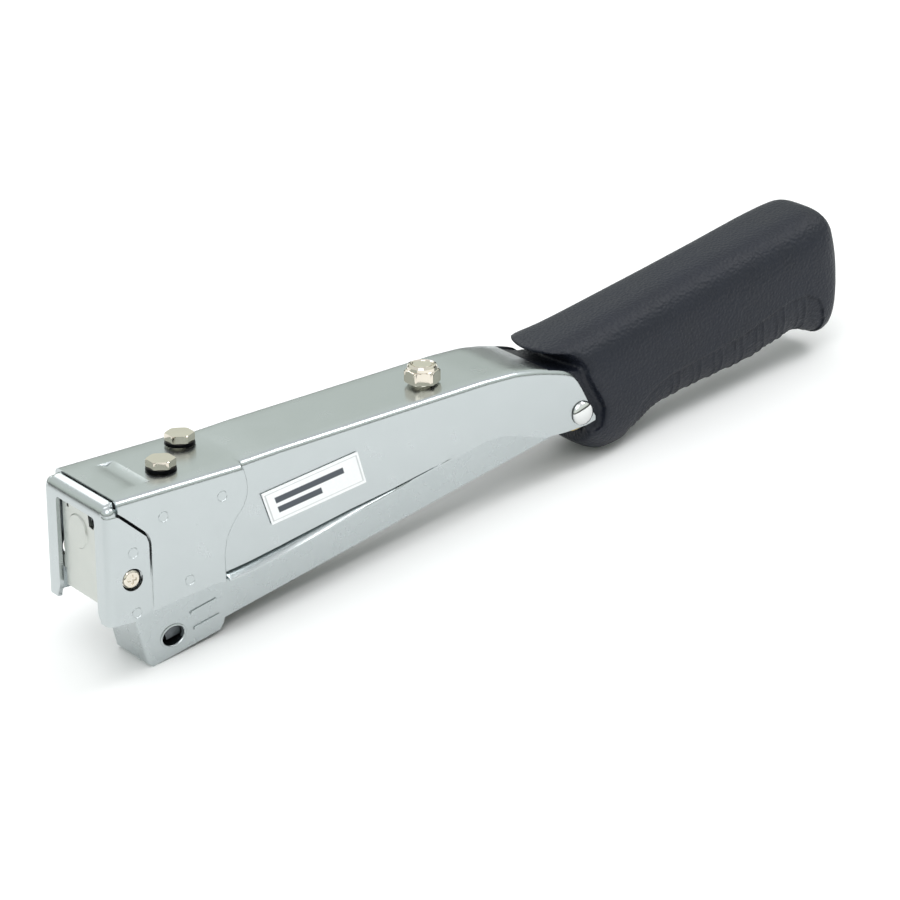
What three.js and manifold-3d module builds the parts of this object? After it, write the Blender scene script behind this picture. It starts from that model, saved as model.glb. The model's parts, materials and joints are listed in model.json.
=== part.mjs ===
// Hammer tacker (striking staple gun): chromed pressed-steel body, swinging staple magazine, rubber grip.
// Millimetres, +Z up, +X towards the handle. The tool stands on its nose foot and the chin of its grip.
//
// Two working frames, both with their origin on the front wall, level with the head's top corner:
//   head frame      x square to the front wall, z up along it
//   magazine frame  the same point, turned so that x runs along the magazine and the handle
import * as THREE from 'three';
import { mergeVertices } from 'three/addons/utils/BufferGeometryUtils.js';
import Module from 'manifold-3d';

const wasm = await Module();
wasm.setup();

// ---------- driving dimensions ----------
const GAP = 0.3;                    // clearance between touching pieces
const SHEET = 1.4;                  // body sheet thickness
const MAGAZINE_PITCH = 13.8;        // degrees between the magazine and the square of the front wall
const REST_PITCH = 3.9;             // degrees the magazine climbs towards the grip when the tool stands

const HEAD_HALF = 18;               // half width of the head
const BODY_HALF = 15.6;             // half width behind the head
const TOP_AT_FRONT = 1.9;           // height of the top at the front wall
const TOP_RISE = 0.064;             // rise of the top per millimetre of length
const HEAD_BOTTOM = -35.4;          // lower end of the front cover

const PIVOT = { x: 168.9, z: -49.8 };            // magazine frame
const RIVET_RADIUS = 2.8;
const RIVET_BORE = RIVET_RADIUS + GAP;
const SIDE_SCREW = { x: 8.4, z: -22.4 };         // head frame
const HEAD_BOLTS = [
  { name: 'head_bolt_front', x: 27, y: -5 },
  { name: 'head_bolt_rear', x: 41.5, y: 8 },
];
const STOP_STUD = { x: 122.5, y: -3.5 };

const MAG = { half: 9, wall: 1.2, bottom: -56.3, top: -37.5, front: 3.8 };
const FOOT = { half: 9.6, bottom: -59, rear: 34.5, hole: { x: 14.2, z: -52.8, long: 7.8, tall: 6 } };
const RAIL = { half: 4.4, front: 11.9, rear: 146, bottom: -54.8, top: -41.8, wall: 1.2 };
const ROD = { z: -38, radius: 1.2, front: 36, rear: 152 };
const SPRING_SEAT = { front: 148, rear: 152 };
const SEAT_PIN = { x: 150, z: -48, radius: 1.3 };
const FOLLOWER = { front: 12.6, rear: 40, half: 7.3 };
const TANG = { half: 11.4, wall: 1.6, top: -38, bottom: -57.5, rear: 256, ear: 7.3 };
const TANG_RIVET = { x: 215, z: -48, radius: 2 };
const COLLAR_HALF = BODY_HALF - SHEET - GAP;     // rubber collar that fits between the body's cheeks
const GRIP = { middle: -50.3, rise: 24.6 };       // height of the grip's middle, and from there to its top
const FOLLOWER_COIL = { inner: 1.6, outer: 2.3 };
const RETURN_COIL = { inner: 4.5, outer: 5.9, half: 3.6, wire: 1.2, leg: 154 };
const BLADE = { x: 8.9, thick: 1.2, half: 5.3, bottom: -38.5, top: -2.5 };
const TAB = { near: -7.1, far: -5.2, front: 40.3, rear: 56, floor: -56, roof: -54.4 };

const topAt = (x) => TOP_AT_FRONT + TOP_RISE * x;

// ---------- materials ----------
function finish(color, roughness, metalness) {
  return new THREE.MeshStandardMaterial({ color, roughness, metalness });
}
const CHROME = finish(0xc5cacb, 0.25, 1);
const NICKEL = finish(0xc2bba8, 0.3, 1);
const STEEL = finish(0x9a9c9e, 0.4, 1);
const SPRING_STEEL = finish(0x7d8084, 0.35, 1);
const YELLOW_ZINC = finish(0xb9a676, 0.4, 1);
const RUBBER = finish(0x2e3440, 0.65, 0);
const BLACK_RUBBER = finish(0x1d1f22, 0.8, 0);
const NYLON = finish(0xe4e2d8, 0.5, 0);
const PAPER = finish(0xf2f3f1, 0.45, 0);

// ---------- solids ----------
function solid(geometry) {
  const plain = geometry.index ? geometry.clone() : geometry;
  plain.deleteAttribute('normal');
  plain.deleteAttribute('uv');
  const welded = mergeVertices(plain, 1e-4);
  return new wasm.Manifold(new wasm.Mesh({
    numProp: 3,
    vertProperties: new Float32Array(welded.attributes.position.array),
    triVerts: new Uint32Array(welded.index.array),
  }));
}

function geometryOf(manifold) {
  const { vertProperties, triVerts } = manifold.getMesh();
  const geometry = new THREE.BufferGeometry();
  geometry.setAttribute('position', new THREE.BufferAttribute(vertProperties, 3));
  geometry.setIndex(new THREE.BufferAttribute(triVerts, 1));
  return geometry;
}

const joined = (first, ...rest) => rest.reduce((a, b) => a.add(b), first);
const cut = (first, ...rest) => rest.reduce((a, b) => a.subtract(b), first);

function box(x0, x1, y0, y1, z0, z1) {
  const geometry = new THREE.BoxGeometry(x1 - x0, y1 - y0, z1 - z0);
  return solid(geometry.translate((x0 + x1) / 2, (y0 + y1) / 2, (z0 + z1) / 2));
}

// A side outline, as [x, z] points or a THREE.Shape, carried across the tool from y0 to y1.
function across(outline, y0, y1) {
  const shape = outline instanceof THREE.Shape
    ? outline
    : new THREE.Shape(outline.map(([x, z]) => new THREE.Vector2(x, z)));
  const geometry = new THREE.ExtrudeGeometry(shape, { depth: y1 - y0, bevelEnabled: false, curveSegments: 8 });
  return solid(geometry.rotateX(Math.PI / 2).translate(0, y1, 0));
}

// An outline seen from the front, as [y, z] points or a THREE.Shape, carried from x0 to x1.
function along(outline, x0, x1) {
  const shape = outline instanceof THREE.Shape
    ? outline
    : new THREE.Shape(outline.map(([y, z]) => new THREE.Vector2(y, z)));
  const geometry = new THREE.ExtrudeGeometry(shape, { depth: x1 - x0, bevelEnabled: false, curveSegments: 8 });
  const turn = new THREE.Matrix4().makeBasis(
    new THREE.Vector3(0, 1, 0), new THREE.Vector3(0, 0, 1), new THREE.Vector3(1, 0, 0));
  return solid(geometry.applyMatrix4(turn).translate(x0, 0, 0));
}

// A plan outline, as [x, y] points, carried from z0 up to z1.
function upwards(outline, z0, z1) {
  const shape = new THREE.Shape(outline.map(([x, y]) => new THREE.Vector2(x, y)));
  const geometry = new THREE.ExtrudeGeometry(shape, { depth: z1 - z0, bevelEnabled: false });
  return solid(geometry.translate(0, 0, z0));
}

function crossPin(x, z, radius, y0, y1, sides = 24) {
  const geometry = new THREE.CylinderGeometry(radius, radius, y1 - y0, sides);
  return solid(geometry.translate(x, (y0 + y1) / 2, z));
}

function longPin(y, z, radius, x0, x1, sides = 20) {
  const geometry = new THREE.CylinderGeometry(radius, radius, x1 - x0, sides);
  return solid(geometry.rotateZ(Math.PI / 2).translate((x0 + x1) / 2, y, z));
}

function uprightPin(x, y, radius, z0, z1, sides = 24) {
  const geometry = new THREE.CylinderGeometry(radius, radius, z1 - z0, sides);
  return solid(geometry.rotateX(Math.PI / 2).translate(x, y, (z0 + z1) / 2));
}

// A turned piece: [radius, height] points about an upright axis, starting and ending on the axis.
function turned(points, sides = 24) {
  return new THREE.LatheGeometry(points.map(([r, h]) => new THREE.Vector2(r, h)), sides);
}

function oblong(x, z, long, tall) {
  const shape = new THREE.Shape();
  const flat = (long - tall) / 2;
  shape.absarc(x + flat, z, tall / 2, -Math.PI / 2, Math.PI / 2, false);
  shape.absarc(x - flat, z, tall / 2, Math.PI / 2, 1.5 * Math.PI, false);
  return shape;
}

// ---------- frames ----------
const tool = new THREE.Group();
const headFrame = new THREE.Group();
const magazineFrame = new THREE.Group();
const pitch = THREE.MathUtils.degToRad(MAGAZINE_PITCH);
magazineFrame.rotation.y = -pitch;
headFrame.rotation.y = THREE.MathUtils.degToRad(MAGAZINE_PITCH - REST_PITCH);
headFrame.add(magazineFrame);
tool.add(headFrame);

// A solid drawn in the magazine frame, turned into the head frame.
const toHead = (manifold) => manifold.rotate([0, -MAGAZINE_PITCH, 0]);
const headPoint = ({ x, z }) => ({
  x: x * Math.cos(pitch) - z * Math.sin(pitch),
  z: x * Math.sin(pitch) + z * Math.cos(pitch),
});
const PIVOT_IN_HEAD = headPoint(PIVOT);

function add(parent, name, shape, material) {
  const geometry = shape instanceof THREE.BufferGeometry ? shape : geometryOf(shape);
  const mesh = new THREE.Mesh(geometry, material);
  mesh.name = name;
  parent.add(mesh);
  return mesh;
}

// ---------- body shell ----------
// The swept line down each side where the wide head steps in to the narrower body.
const STEP_LINE = [
  [47.5, topAt(47.5)], [49.2, -0.5], [49.3, -5], [47.8, -8.8], [44.2, -12.6],
  [41.8, -17], [40.8, -22], [41, -30.3],
];
const REAR_TOP = [[150, 10.9], [158, 9.9], [166, 8.2], [171, 6.8], [174, 4.4], [176.6, 0], [179.2, -5], [181.6, -11.4]];
const REAR_BOTTOM = [[178, -12.6], [169.6, -13.3], [161, -13.3], [153, -11], [145, -9.1], [138.5, -9.3]];
const shifted = (points, dx, dz) => points.map(([x, z]) => [x + dx, z + dz]);

function headOutline(inset) {
  const step = shifted(STEP_LINE, -inset, 0);
  step[0][1] = topAt(step[0][0]) - inset;
  if (inset > 0) {
    return [[-5, topAt(-5) - inset], [-5, -60], [step.at(-1)[0], -60], ...step.slice(1).reverse(), step[0]];
  }
  return [
    [4.3, topAt(4.3)], [4.3, -1.2], [5.6, -1.7], [14.4, -9.4], [15.2, -12], [15.2, -33.9],
    ...step.slice(1).reverse(), step[0],
  ];
}

function bodyOutline(inset) {
  const front = shifted(STEP_LINE, -SHEET - 2 * inset, 0);
  front[0][1] = topAt(front[0][0]) - inset;
  const rearTop = shifted([[138, topAt(138)], ...REAR_TOP], 0, -inset);
  const bottom = inset > 0 ? [[190, -60], [41 - SHEET - 2 * inset, -60]] : [...REAR_BOTTOM, [42, -32.3]];
  const close = inset > 0 ? [] : [[39.6, -30.5]];
  const tail = inset > 0 ? [[190, rearTop.at(-1)[1]]] : [];
  return [...rearTop, ...tail, ...bottom, ...close, ...front.slice(0, -1).reverse()];
}

// The flared strip along the lower edge, widest behind the head and dying out towards the rear.
function lowerStrip(side) {
  const plan = [[33.5, 15.2], [33.5, HEAD_HALF], [52, HEAD_HALF], [112, BODY_HALF], [112, 15.2]]
    .map(([x, y]) => [x, side * y]);
  return toHead(upwards(side > 0 ? plan.reverse() : plan, -41.6, -39.7));
}

function outerShell() {
  const outer = joined(
    across(headOutline(0), -HEAD_HALF, HEAD_HALF),
    across(bodyOutline(0), -BODY_HALF, BODY_HALF),
    lowerStrip(-1), lowerStrip(1));
  const hollow = joined(
    across(headOutline(SHEET), -HEAD_HALF + SHEET, HEAD_HALF - SHEET),
    across(bodyOutline(SHEET), -BODY_HALF + SHEET, BODY_HALF - SHEET));
  const stripSlot = [[35, -39.6], [35, -38.5], [60, -38.3], [104, -39.2], [104, -39.6]];
  const rearOpening = box(163, 190, -BODY_HALF + SHEET, BODY_HALF - SHEET, -20, 20);
  const pressedRamp = [[14, topAt(14) + 1], [14, topAt(14)], [19.8, topAt(19.8) - 0.9], [19.8, topAt(19.8) + 1]];
  const holes = HEAD_BOLTS.map(({ x, y }) => uprightPin(x, y, 2.8, 0, 20));
  return cut(
    outer, hollow, rearOpening,
    toHead(across(stripSlot, -30, 30)),
    across(pressedRamp, -10.3, 10.3),
    crossPin(PIVOT_IN_HEAD.x, PIVOT_IN_HEAD.z, RIVET_BORE, -30, 30),
    uprightPin(STOP_STUD.x, STOP_STUD.y, 3.3, 0, 20),
    ...holes);
}

// ---------- front cover and the plate in its window ----------
function frontCover() {
  const wall = [
    [0, HEAD_BOTTOM], [0, -1.5], [0.6, 0.2], [1.8, 1.4], [4, 2.1],
    [4, 0.7], [2.4, 0.1], [1.6, -0.8], [SHEET, -2], [SHEET, HEAD_BOTTOM],
  ];
  const flap = [
    [0, HEAD_BOTTOM], [0, -1.5], [4.6, -2.1], [13.6, -10], [14.4, -12.3], [14.4, -33.4], [12.4, -35.2], [9, -36],
  ];
  const window = [
    [-13.4, -60], [-13.4, -36], [-11.8, -34.2], [-11.6, -32], [-11.6, -4.6], [-10.2, -3.2],
    [9.2, -3.2], [10.6, -4.6], [10.6, -31], [12, -34.6], [12, -60],
  ];
  return cut(
    joined(
      across(wall, -HEAD_HALF + 0.5, HEAD_HALF - 0.5),
      across(flap, -HEAD_HALF, -HEAD_HALF + SHEET),
      across(flap, HEAD_HALF - SHEET, HEAD_HALF)),
    along(window, -5, 3),
    crossPin(SIDE_SCREW.x, SIDE_SCREW.z, 3.3, -30, 30));
}

function windowPlate() {
  const outline = [
    [-12.6, -31.2], [9, -31.2], [9, -26], [12.4, -26], [12.4, -22], [9.8, -22], [9.8, -4.4],
    [7.2, -3.9], [7.2, -5.6], [6.2, -5.6], [6.2, -3.9], [-5, -4.4], [-5.6, -8], [-8, -8.4],
    [-8.6, -7], [-12.8, -6.6], [-12.8, -11], [-10.4, -12], [-10.4, -19.5], [-8.8, -20.5],
    [-8.8, -27], [-12.6, -28.2],
  ];
  const emboss = new THREE.CylinderGeometry(5, 5.6, 0.6, 32).rotateZ(Math.PI / 2).translate(1.6, 1, -11.6);
  return along(outline, 1.7, 2.9).add(solid(emboss));
}

// ---------- driver block, blade and their bolts ----------
function driverBlock() {
  const outline = [
    [12.9, -8.2], [46, -8.2], [46, topAt(46) - SHEET - GAP], [20.3, topAt(20.3) - SHEET - GAP],
    [20.3, 0.4], [13, 0], [10.9, 0],
  ];
  const holes = HEAD_BOLTS.map(({ x, y }) => uprightPin(x, y, 2.8, -3.4, 20));
  return cut(across(outline, -12.5, 12.5), ...holes);
}

function hexBolt(x, y, shankBottom) {
  const seat = topAt(x) + GAP;
  const head = new THREE.CylinderGeometry(4.6, 4.6, 2.9, 6).rotateX(Math.PI / 2);
  const crown = new THREE.CylinderGeometry(4, 4.55, 0.7, 24).rotateX(Math.PI / 2);
  const washerFace = uprightPin(x, y, 4.4, seat, seat + 0.5);
  return joined(
    washerFace,
    solid(head.translate(x, y, seat + 1.75)),
    solid(crown.translate(x, y, seat + 3.45)),
    uprightPin(x, y, 2.5, shankBottom, seat + 0.2));
}

// ---------- side screws and the spacer between the flaps ----------
function sideScrew(side) {
  const head = turned([[0, -8.4], [1.6, -8.4], [1.6, -1.5], [2.9, -1.5], [2.9, -0.5], [2.3, 0], [0, 0]]);
  const cross = [
    new THREE.BoxGeometry(3, 0.8, 0.8).translate(0, -0.1, 0),
    new THREE.BoxGeometry(0.8, 0.8, 3).translate(0, -0.1, 0),
  ];
  const screw = cut(solid(head), ...cross.map(solid));
  const faced = side < 0 ? screw.rotate([180, 0, 0]) : screw;
  return faced.translate([SIDE_SCREW.x, side * (HEAD_HALF - 0.2), SIDE_SCREW.z]);
}

function coverSpacer() {
  const reach = HEAD_HALF - SHEET - 0.7;
  return crossPin(SIDE_SCREW.x, SIDE_SCREW.z, 2.5, -reach, reach)
    .subtract(crossPin(SIDE_SCREW.x, SIDE_SCREW.z, 1.9, -30, 30));
}

// ---------- swing stop: stud, lock nut, backing plate and rubber bumper ----------
function stopStud() {
  const bottom = 3.4;
  return joined(
    uprightPin(STOP_STUD.x, STOP_STUD.y, 3, bottom, topAt(STOP_STUD.x) + 6.4),
    uprightPin(STOP_STUD.x, STOP_STUD.y, 4.8, bottom, bottom + 1.2, 6));
}

function lockNut() {
  const seat = topAt(STOP_STUD.x) + 0.7;
  const hexagon = new THREE.CylinderGeometry(5.7, 5.7, 4.2, 6).rotateX(Math.PI / 2);
  const collar = new THREE.CylinderGeometry(4.3, 5.1, 1.6, 24).rotateX(Math.PI / 2);
  return cut(
    joined(
      solid(hexagon.translate(STOP_STUD.x, STOP_STUD.y, seat + 2.1)),
      solid(collar.translate(STOP_STUD.x, STOP_STUD.y, seat + 5))),
    uprightPin(STOP_STUD.x, STOP_STUD.y, 3.3, seat - 1, seat + 9),
    uprightPin(STOP_STUD.x, STOP_STUD.y, 4, seat + 4.3, seat + 5.4));
}

function lockNutInsert() {
  const seat = topAt(STOP_STUD.x) + 0.7;
  return uprightPin(STOP_STUD.x, STOP_STUD.y, 3.75, seat + 4.5, seat + 5.2)
    .subtract(uprightPin(STOP_STUD.x, STOP_STUD.y, 3.25, 0, 30));
}

function bumperPlate() {
  const top = topAt(116) - SHEET - GAP;
  return cut(
    box(116, 129, -12.5, 12.5, top - 2, top),
    uprightPin(STOP_STUD.x, STOP_STUD.y, 3.3, -10, 30));
}

function rubberBumper() {
  const top = topAt(116) - SHEET - GAP - 2.3;
  return cut(
    box(117, 128, -10.5, 10.5, -0.9, top),
    box(110, 140, -4.2, 4.2, -5, 2.3),
    uprightPin(STOP_STUD.x, STOP_STUD.y, 5.2, 3, 30));
}

// ---------- pivot ----------
function pivotRivet() {
  const reach = BODY_HALF + GAP;
  const profile = [
    [0, -reach - 1.9], [2.2, -reach - 1.6], [3.5, -reach - 0.8], [4, -reach],
    [RIVET_RADIUS, -reach], [RIVET_RADIUS, reach], [4, reach], [3.5, reach + 0.8],
    [2.2, reach + 1.6], [0, reach + 1.9],
  ];
  return turned(profile, 28);
}

function pivotBush() {
  const reach = MAG.half - MAG.wall - GAP;
  return crossPin(PIVOT.x, PIVOT.z, 4.1, -reach, reach)
    .subtract(crossPin(PIVOT.x, PIVOT.z, RIVET_BORE, -30, 30));
}

// ---------- swinging magazine ----------
function magazineHousing() {
  const wallTop = MAG.top;
  const roundEnd = new THREE.Shape();
  roundEnd.moveTo(MAG.front, MAG.bottom);
  roundEnd.lineTo(PIVOT.x, MAG.bottom);
  roundEnd.absarc(PIVOT.x, PIVOT.z, PIVOT.z - MAG.bottom, -Math.PI / 2, Math.PI / 2, false);
  roundEnd.lineTo(158, wallTop - 3);
  roundEnd.lineTo(150, wallTop);
  roundEnd.lineTo(MAG.front, wallTop);
  const foot = [
    [MAG.front, wallTop], [MAG.front, FOOT.bottom + 1.6], [5.2, FOOT.bottom], [29.6, FOOT.bottom],
    [31.4, FOOT.bottom + 1.6], [32, MAG.bottom], [FOOT.rear, -51], [FOOT.rear, wallTop],
  ];
  const innerHalf = MAG.half - MAG.wall;
  const inside = box(MAG.front + 1.5, 190, -innerHalf, innerHalf, MAG.bottom + MAG.wall, 0);
  const { hole } = FOOT;
  const rib = (z, x0, x1, side) => {
    const shape = oblong((x0 + x1) / 2, z, x1 - x0, 1.5);
    const [y0, y1] = [FOOT.half - 0.5, FOOT.half + 0.4].map((y) => side * y).sort((a, b) => a - b);
    return across(shape, y0, y1);
  };
  const ribs = [-1, 1].flatMap((side) => [rib(-48.9, 21.4, 31.4, side), rib(-54.2, 21.2, 31, side)]);
  return cut(
    joined(across(roundEnd, -MAG.half, MAG.half), across(foot, -FOOT.half, FOOT.half), ...ribs),
    inside,
    box(5.6, 11.6, -6, 6, -70, 0),
    box(44, 142, -7.5, -4.8, -70, -50),
    box(161, 190, -innerHalf, innerHalf, -70, -50),
    crossPin(SEAT_PIN.x, SEAT_PIN.z, SEAT_PIN.radius + GAP, -30, 30, 16),
    across(oblong(hole.x, hole.z, hole.long, hole.tall), -30, 30),
    crossPin(PIVOT.x, PIVOT.z, RIVET_BORE, -30, 30));
}

function stapleRail() {
  const { half, wall } = RAIL;
  return box(RAIL.front, RAIL.rear, -half, half, RAIL.bottom, RAIL.top)
    .subtract(box(RAIL.front + 3, RAIL.rear + 5, -half + wall, half - wall, -70, RAIL.top - wall));
}

function follower() {
  const { half, front, rear } = FOLLOWER;
  const clear = RAIL.half + GAP;
  return cut(
    joined(
      box(front, rear, -half, half, RAIL.bottom + 0.1, RAIL.top + 1.4),
      box(rear - 2.4, rear, -3.4, 3.4, RAIL.top, -35.6)),
    box(0, 90, -clear, clear, -70, RAIL.top + GAP),
    longPin(0, ROD.z, ROD.radius + GAP, 0, 90));
}

// The finger tab sits in the slot in the magazine floor, so that the follower can be drawn back from below.
function followerTab() {
  const { near, far, front, rear, floor, roof } = TAB;
  const outline = [
    [rear - 10, roof], [rear - 10, floor], [rear, floor], [rear, roof],
    [rear - 2, roof], [rear - 2, roof + 3], [front, roof + 3], [front, roof],
  ];
  return across(outline, near, far);
}

function guideRod() {
  return longPin(0, ROD.z, ROD.radius, ROD.front, SPRING_SEAT.front - GAP);
}

function springSeat() {
  return cut(
    box(SPRING_SEAT.front, SPRING_SEAT.rear, -7.5, 7.5, RAIL.bottom, -35.8),
    crossPin(SEAT_PIN.x, SEAT_PIN.z, SEAT_PIN.radius + GAP, -30, 30, 16));
}

function seatPin() {
  const reach = MAG.half + 0.4;
  return crossPin(SEAT_PIN.x, SEAT_PIN.z, SEAT_PIN.radius, -reach, reach, 16);
}

// Coil springs are plain sleeves here: inner radius, outer radius and length.
function followerSpring() {
  return longPin(0, ROD.z, FOLLOWER_COIL.outer, FOLLOWER.rear + GAP, SPRING_SEAT.front - GAP - 0.2)
    .subtract(longPin(0, ROD.z, FOLLOWER_COIL.inner, 0, 200));
}

function returnSpring() {
  const { inner, outer, half, wire, leg } = RETURN_COIL;
  const [legInner, legOuter] = [inner + 0.2, outer - 0.1];
  const coil = crossPin(PIVOT.x, PIVOT.z, outer, -half, half).subtract(crossPin(PIVOT.x, PIVOT.z, inner, -30, 30));
  return joined(
    coil,
    box(leg, PIVOT.x, -half, wire - half, PIVOT.z + legInner, PIVOT.z + legOuter),
    box(PIVOT.x - legOuter, PIVOT.x - legInner, half - wire, half, PIVOT.z, TANG.top - TANG.wall - GAP));
}

// ---------- handle ----------
function handleTang() {
  const shape = new THREE.Shape();
  shape.moveTo(PIVOT.x, PIVOT.z - TANG.ear);
  shape.lineTo(178, TANG.bottom);
  shape.lineTo(TANG.rear, TANG.bottom);
  shape.lineTo(TANG.rear, TANG.top);
  shape.lineTo(163.5, TANG.top);
  shape.lineTo(PIVOT.x - TANG.ear, -43);
  shape.absarc(PIVOT.x, PIVOT.z, TANG.ear, Math.PI, 1.5 * Math.PI, false);
  const innerHalf = TANG.half - TANG.wall;
  return cut(
    across(shape, -TANG.half, TANG.half),
    box(100, 300, -innerHalf, innerHalf, -80, TANG.top - TANG.wall),
    crossPin(PIVOT.x, PIVOT.z, RIVET_BORE, -30, 30),
    crossPin(TANG_RIVET.x, TANG_RIVET.z, TANG_RIVET.radius + GAP, -30, 30));
}

// Half width of the grip along its length: flared mouth, waist, palm swell, butt.
const GRIP_WIDTH = new THREE.SplineCurve([
  [150, 20], [160, 19.6], [172, 18.4], [185, 17], [200, 16.2], [220, 16], [245, 16.4], [268, 17],
  [275, 16.8], [279.5, 15.4], [282.5, 13], [285, 8.5],
].map(([x, w]) => new THREE.Vector2(x, w)));

function gripSide() {
  const shape = new THREE.Shape();
  shape.moveTo(161, -25.8);
  shape.bezierCurveTo(164.5, -26.8, 169, -27, 178, -27);
  shape.lineTo(270, -27);
  shape.bezierCurveTo(278, -27, 283.6, -29, 284, -38);
  shape.bezierCurveTo(284, -44, 281, -54, 278.8, -63);
  shape.bezierCurveTo(277.2, -69, 276, -72.6, 272.5, -72.6);
  shape.bezierCurveTo(268.6, -72.6, 267.4, -66.8, 260, -66.8);
  shape.bezierCurveTo(240, -69.8, 215, -66.4, 203, -66.2);
  shape.bezierCurveTo(195, -66.2, 193, -70.8, 184, -71);
  shape.bezierCurveTo(176, -71, 172, -67, 169.5, -62);
  shape.bezierCurveTo(168.4, -59.6, 172, -58.6, 175.5, -57.6);
  shape.bezierCurveTo(178.5, -56, 177.4, -51, 176.4, -47);
  shape.bezierCurveTo(174, -38, 168.6, -30, 161.4, -27.9);
  shape.lineTo(161, -25.8);
  return shape;
}

// The rounded cross-section of the grip, swept along the handle with its width following GRIP_WIDTH.
function gripBody() {
  const around = 28;
  const rings = GRIP_WIDTH.getSpacedPoints(26);
  const ring = ({ x, y: halfWidth }) => Array.from({ length: around }, (_, i) => {
    const angle = (2 * Math.PI * i) / around;
    const squared = (value) => Math.sign(value) * Math.abs(value) ** 0.72;
    return [x, halfWidth * squared(Math.cos(angle)), GRIP.middle + GRIP.rise * squared(Math.sin(angle))];
  });
  const positions = rings.flatMap((point) => ring(point).flat());
  const index = [];
  for (let r = 0; r < rings.length - 1; r += 1) {
    for (let i = 0; i < around; i += 1) {
      const [a, b] = [r * around + i, r * around + ((i + 1) % around)];
      index.push(a, b, a + around, b, b + around, a + around);
    }
  }
  const last = (rings.length - 1) * around;
  for (let i = 1; i < around - 1; i += 1) {
    index.push(0, i + 1, i, last, last + i, last + i + 1);
  }
  const geometry = new THREE.BufferGeometry();
  geometry.setAttribute('position', new THREE.Float32BufferAttribute(positions, 3));
  geometry.setIndex(index);
  return solid(geometry).intersect(across(gripSide(), -30, 30));
}

// The rubber runs on under the body's cheeks as a collar over the tang, and shows behind the end of the roof.
function gripCollar() {
  const outline = [
    [163.6, 1.5], [163.6, 7.9], [166, 7.4], [171, 6], [180, 5.2], [188, -2], [188, -16], [180, -16], [172, -4],
  ];
  return across(outline, -COLLAR_HALF, COLLAR_HALF).rotate([0, MAGAZINE_PITCH, 0]);
}

function handleGrip() {
  const shellRoom = [[130, -18], [130, 14], [164, 10.6], [172, 8.2], [176, 4.6], [183.4, -11], [184, -15.2], [176, -15.2]];
  const inset = BODY_HALF + 1.2;
  const tangRoom = box(150, TANG.rear + GAP, -TANG.half - GAP, TANG.half + GAP, TANG.bottom - GAP, TANG.top + GAP);
  const hollowed = cut(
    gripBody(),
    across(shellRoom, -inset, inset).rotate([0, MAGAZINE_PITCH, 0]));
  return cut(
    joined(hollowed, gripCollar()),
    tangRoom,
    crossPin(PIVOT.x, PIVOT.z, RIVET_BORE, -inset, inset));
}

function tangRivet() {
  return crossPin(TANG_RIVET.x, TANG_RIVET.z, TANG_RIVET.radius, -TANG.half, TANG.half, 16);
}

// ---------- plain label ----------
function labelPlate() {
  const outline = [[54.6, -7.1], [58.2, -17.8], [92.4, -12], [89.3, -1.4]];
  return across(outline, -BODY_HALF - GAP - 0.3, -BODY_HALF - GAP);
}

// ---------- assembly ----------
add(headFrame, 'outer_shell', outerShell(), CHROME);
add(headFrame, 'front_cover', frontCover(), CHROME);
add(headFrame, 'window_plate', windowPlate(), STEEL);
add(headFrame, 'driver_block', driverBlock(), STEEL);
for (const { name, x, y } of HEAD_BOLTS) {
  add(headFrame, name, hexBolt(x, y, -3), NICKEL);
}
add(headFrame, 'side_screw_near', sideScrew(-1), NICKEL);
add(headFrame, 'side_screw_far', sideScrew(1), NICKEL);
add(headFrame, 'cover_spacer', coverSpacer(), STEEL);
add(headFrame, 'stop_stud', stopStud(), NICKEL);
add(headFrame, 'lock_nut', lockNut(), NICKEL);
add(headFrame, 'lock_nut_insert', lockNutInsert(), NYLON);
add(headFrame, 'bumper_plate', bumperPlate(), STEEL);
add(headFrame, 'rubber_bumper', rubberBumper(), BLACK_RUBBER);
add(headFrame, 'label_plate', labelPlate(), PAPER);
const rivet = add(headFrame, 'pivot_rivet', pivotRivet(), CHROME);
rivet.position.set(PIVOT_IN_HEAD.x, 0, PIVOT_IN_HEAD.z);

const blade = box(BLADE.x, BLADE.x + BLADE.thick, -BLADE.half, BLADE.half, BLADE.bottom, BLADE.top);
add(magazineFrame, 'driver_blade', blade, SPRING_STEEL);
add(magazineFrame, 'handle_tang', handleTang(), YELLOW_ZINC);
add(magazineFrame, 'handle_grip', handleGrip(), RUBBER);
add(magazineFrame, 'tang_rivet', tangRivet(), STEEL);

add(magazineFrame, 'magazine_housing', magazineHousing(), CHROME);
add(magazineFrame, 'staple_rail', stapleRail(), STEEL);
add(magazineFrame, 'spring_seat', springSeat(), STEEL);
add(magazineFrame, 'guide_rod', guideRod(), STEEL);
add(magazineFrame, 'seat_pin', seatPin(), STEEL);
add(magazineFrame, 'pivot_bush', pivotBush(), YELLOW_ZINC);
add(magazineFrame, 'return_spring', returnSpring(), SPRING_STEEL);

add(magazineFrame, 'follower', follower(), STEEL);
add(magazineFrame, 'follower_tab', followerTab(), STEEL);
add(magazineFrame, 'follower_spring', followerSpring(), SPRING_STEEL);

// Stand the tool with its lowest point at z = 0 and its length centred on the origin.
tool.updateMatrixWorld(true);
const bounds = new THREE.Box3().setFromObject(tool, true);
tool.position.set(-(bounds.min.x + bounds.max.x) / 2, 0, -bounds.min.z);
tool.updateMatrixWorld(true);

export default tool;
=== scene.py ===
import json
import math
import bpy
import bmesh
from bisect import bisect_right
from mathutils import Matrix, Vector


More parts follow.
